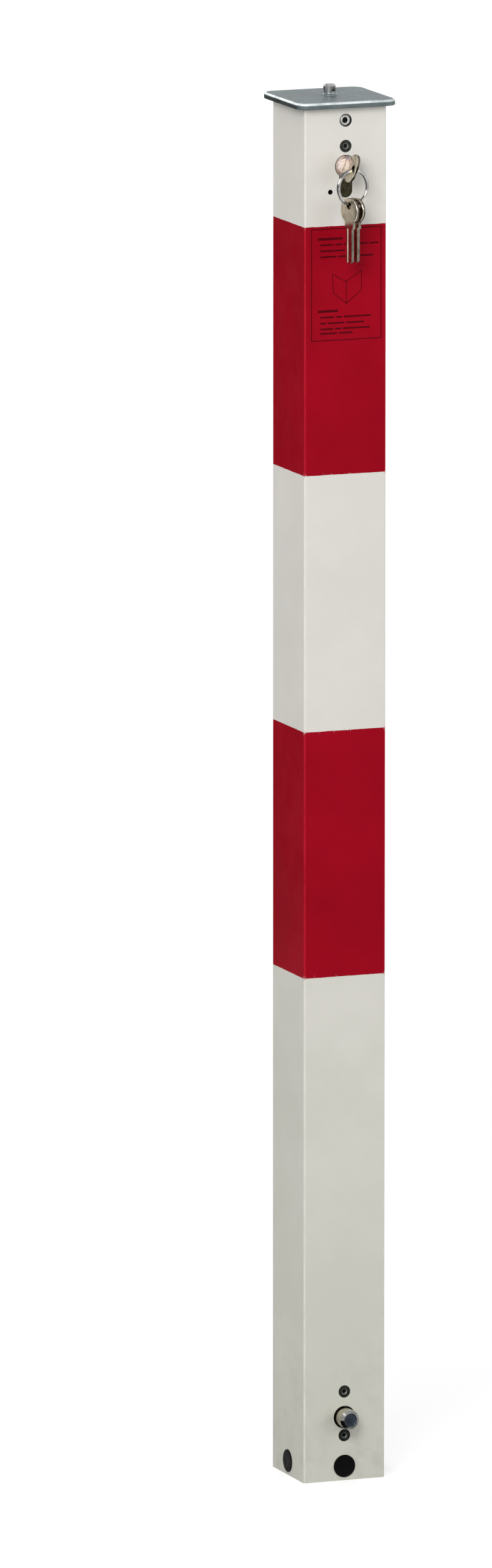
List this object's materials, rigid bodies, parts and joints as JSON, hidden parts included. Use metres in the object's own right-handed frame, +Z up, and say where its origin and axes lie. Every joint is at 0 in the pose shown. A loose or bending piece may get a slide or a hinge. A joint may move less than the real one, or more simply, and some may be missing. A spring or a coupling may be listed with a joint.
{
  "type": "barrier post",
  "caption": "Square steel barrier post with red and white bands, a head plate with a lifting lug, a key lock near the top and a locking bolt near the foot.",
  "frame": {"origin": "on the tube's axis at the bottom of its foot", "axes": "+Z up along the tube, -Y out of the face that carries the lock and the locking bolt, +X to the right seen from that face"},
  "size_m": [0.085, 0.1086, 1.1292],
  "materials": {
    "paint": "white powder coat with red bands",
    "galvanised": "galvanised",
    "nickel": "satin nickel",
    "zinc_steel": "zinc plated",
    "black_steel": "black oxide",
    "spring_steel": "bright",
    "black_plastic": "matte"
  },
  "bodies": {
    "post": {"post_tube": "paint", "head_plate": "galvanised", "lifting_lug": "galvanised", "head_collar": "galvanised", "head_screw": "nickel", "lock_carrier": "zinc_steel", "carrier_screw": "black_steel", "cylinder_body": "nickel", "cylinder_screw": "zinc_steel", "rod_guide": "zinc_steel", "bolt_housing": "zinc_steel", "housing_screws": "black_steel", "bolt_spring": "spring_steel", "glide_front": "black_plastic", "glide_back": "black_plastic", "glide_left": "black_plastic", "glide_right": "black_plastic"},
    "core": {"cylinder_plug": "nickel", "lock_cam": "zinc_steel", "plug_clip": "spring_steel"},
    "key": {"key": "nickel"},
    "ring": {"key_ring": "nickel"},
    "spare_a": {"spare_key_a": "nickel"},
    "spare_b": {"spare_key_b": "nickel"},
    "rod": {"pull_rod": "zinc_steel", "slot_plate": "zinc_steel", "rod_rivets": "zinc_steel"},
    "bolt": {"locking_bolt": "nickel", "bolt_pin": "spring_steel", "pin_clip": "spring_steel"}
  },
  "joints": [
    {"name": "key_turn", "type": "hinge", "parent": "post", "child": "core", "pos_m": [0, 0, 1.0675], "axis": [0, 1, 0], "range_deg": [-20, 70]},
    {"name": "key_withdraw", "type": "slide", "parent": "core", "child": "key", "axis": [0, -1, 0], "range_m": [0, 0.028]},
    {"name": "ring_swing", "type": "hinge", "parent": "key", "child": "ring", "pos_m": [-0.00031, -0.0538, 1.06665], "axis": [-0.9781, -0.2079, 0], "range_deg": [-8, 90]},
    {"name": "spare_a_slide_round", "type": "hinge", "parent": "ring", "child": "spare_a", "pos_m": [-0.00124, -0.054, 1.05299], "axis": [-0.2079, 0.9781, 0], "range_deg": [0, 80]},
    {"name": "spare_b_slide_round", "type": "hinge", "parent": "ring", "child": "spare_b", "pos_m": [-0.00124, -0.054, 1.05299], "axis": [-0.2079, 0.9781, 0], "range_deg": [-80, 0]},
    {"name": "rod_lift", "type": "slide", "parent": "post", "child": "rod", "axis": [0, 0, 1], "range_m": [-0.00377, 0.0132]},
    {"name": "bolt_slide", "type": "slide", "parent": "post", "child": "bolt", "axis": [0, 1, 0], "range_m": [-0.0042, 0.0147], "deforming": ["bolt_spring"]}
  ],
  "couplings": [
    {"joint": "key_turn", "follows": "rod_lift", "rad_per_m": 92.56},
    {"joint": "bolt_slide", "follows": "rod_lift", "ratio": 1.1019}
  ]
}
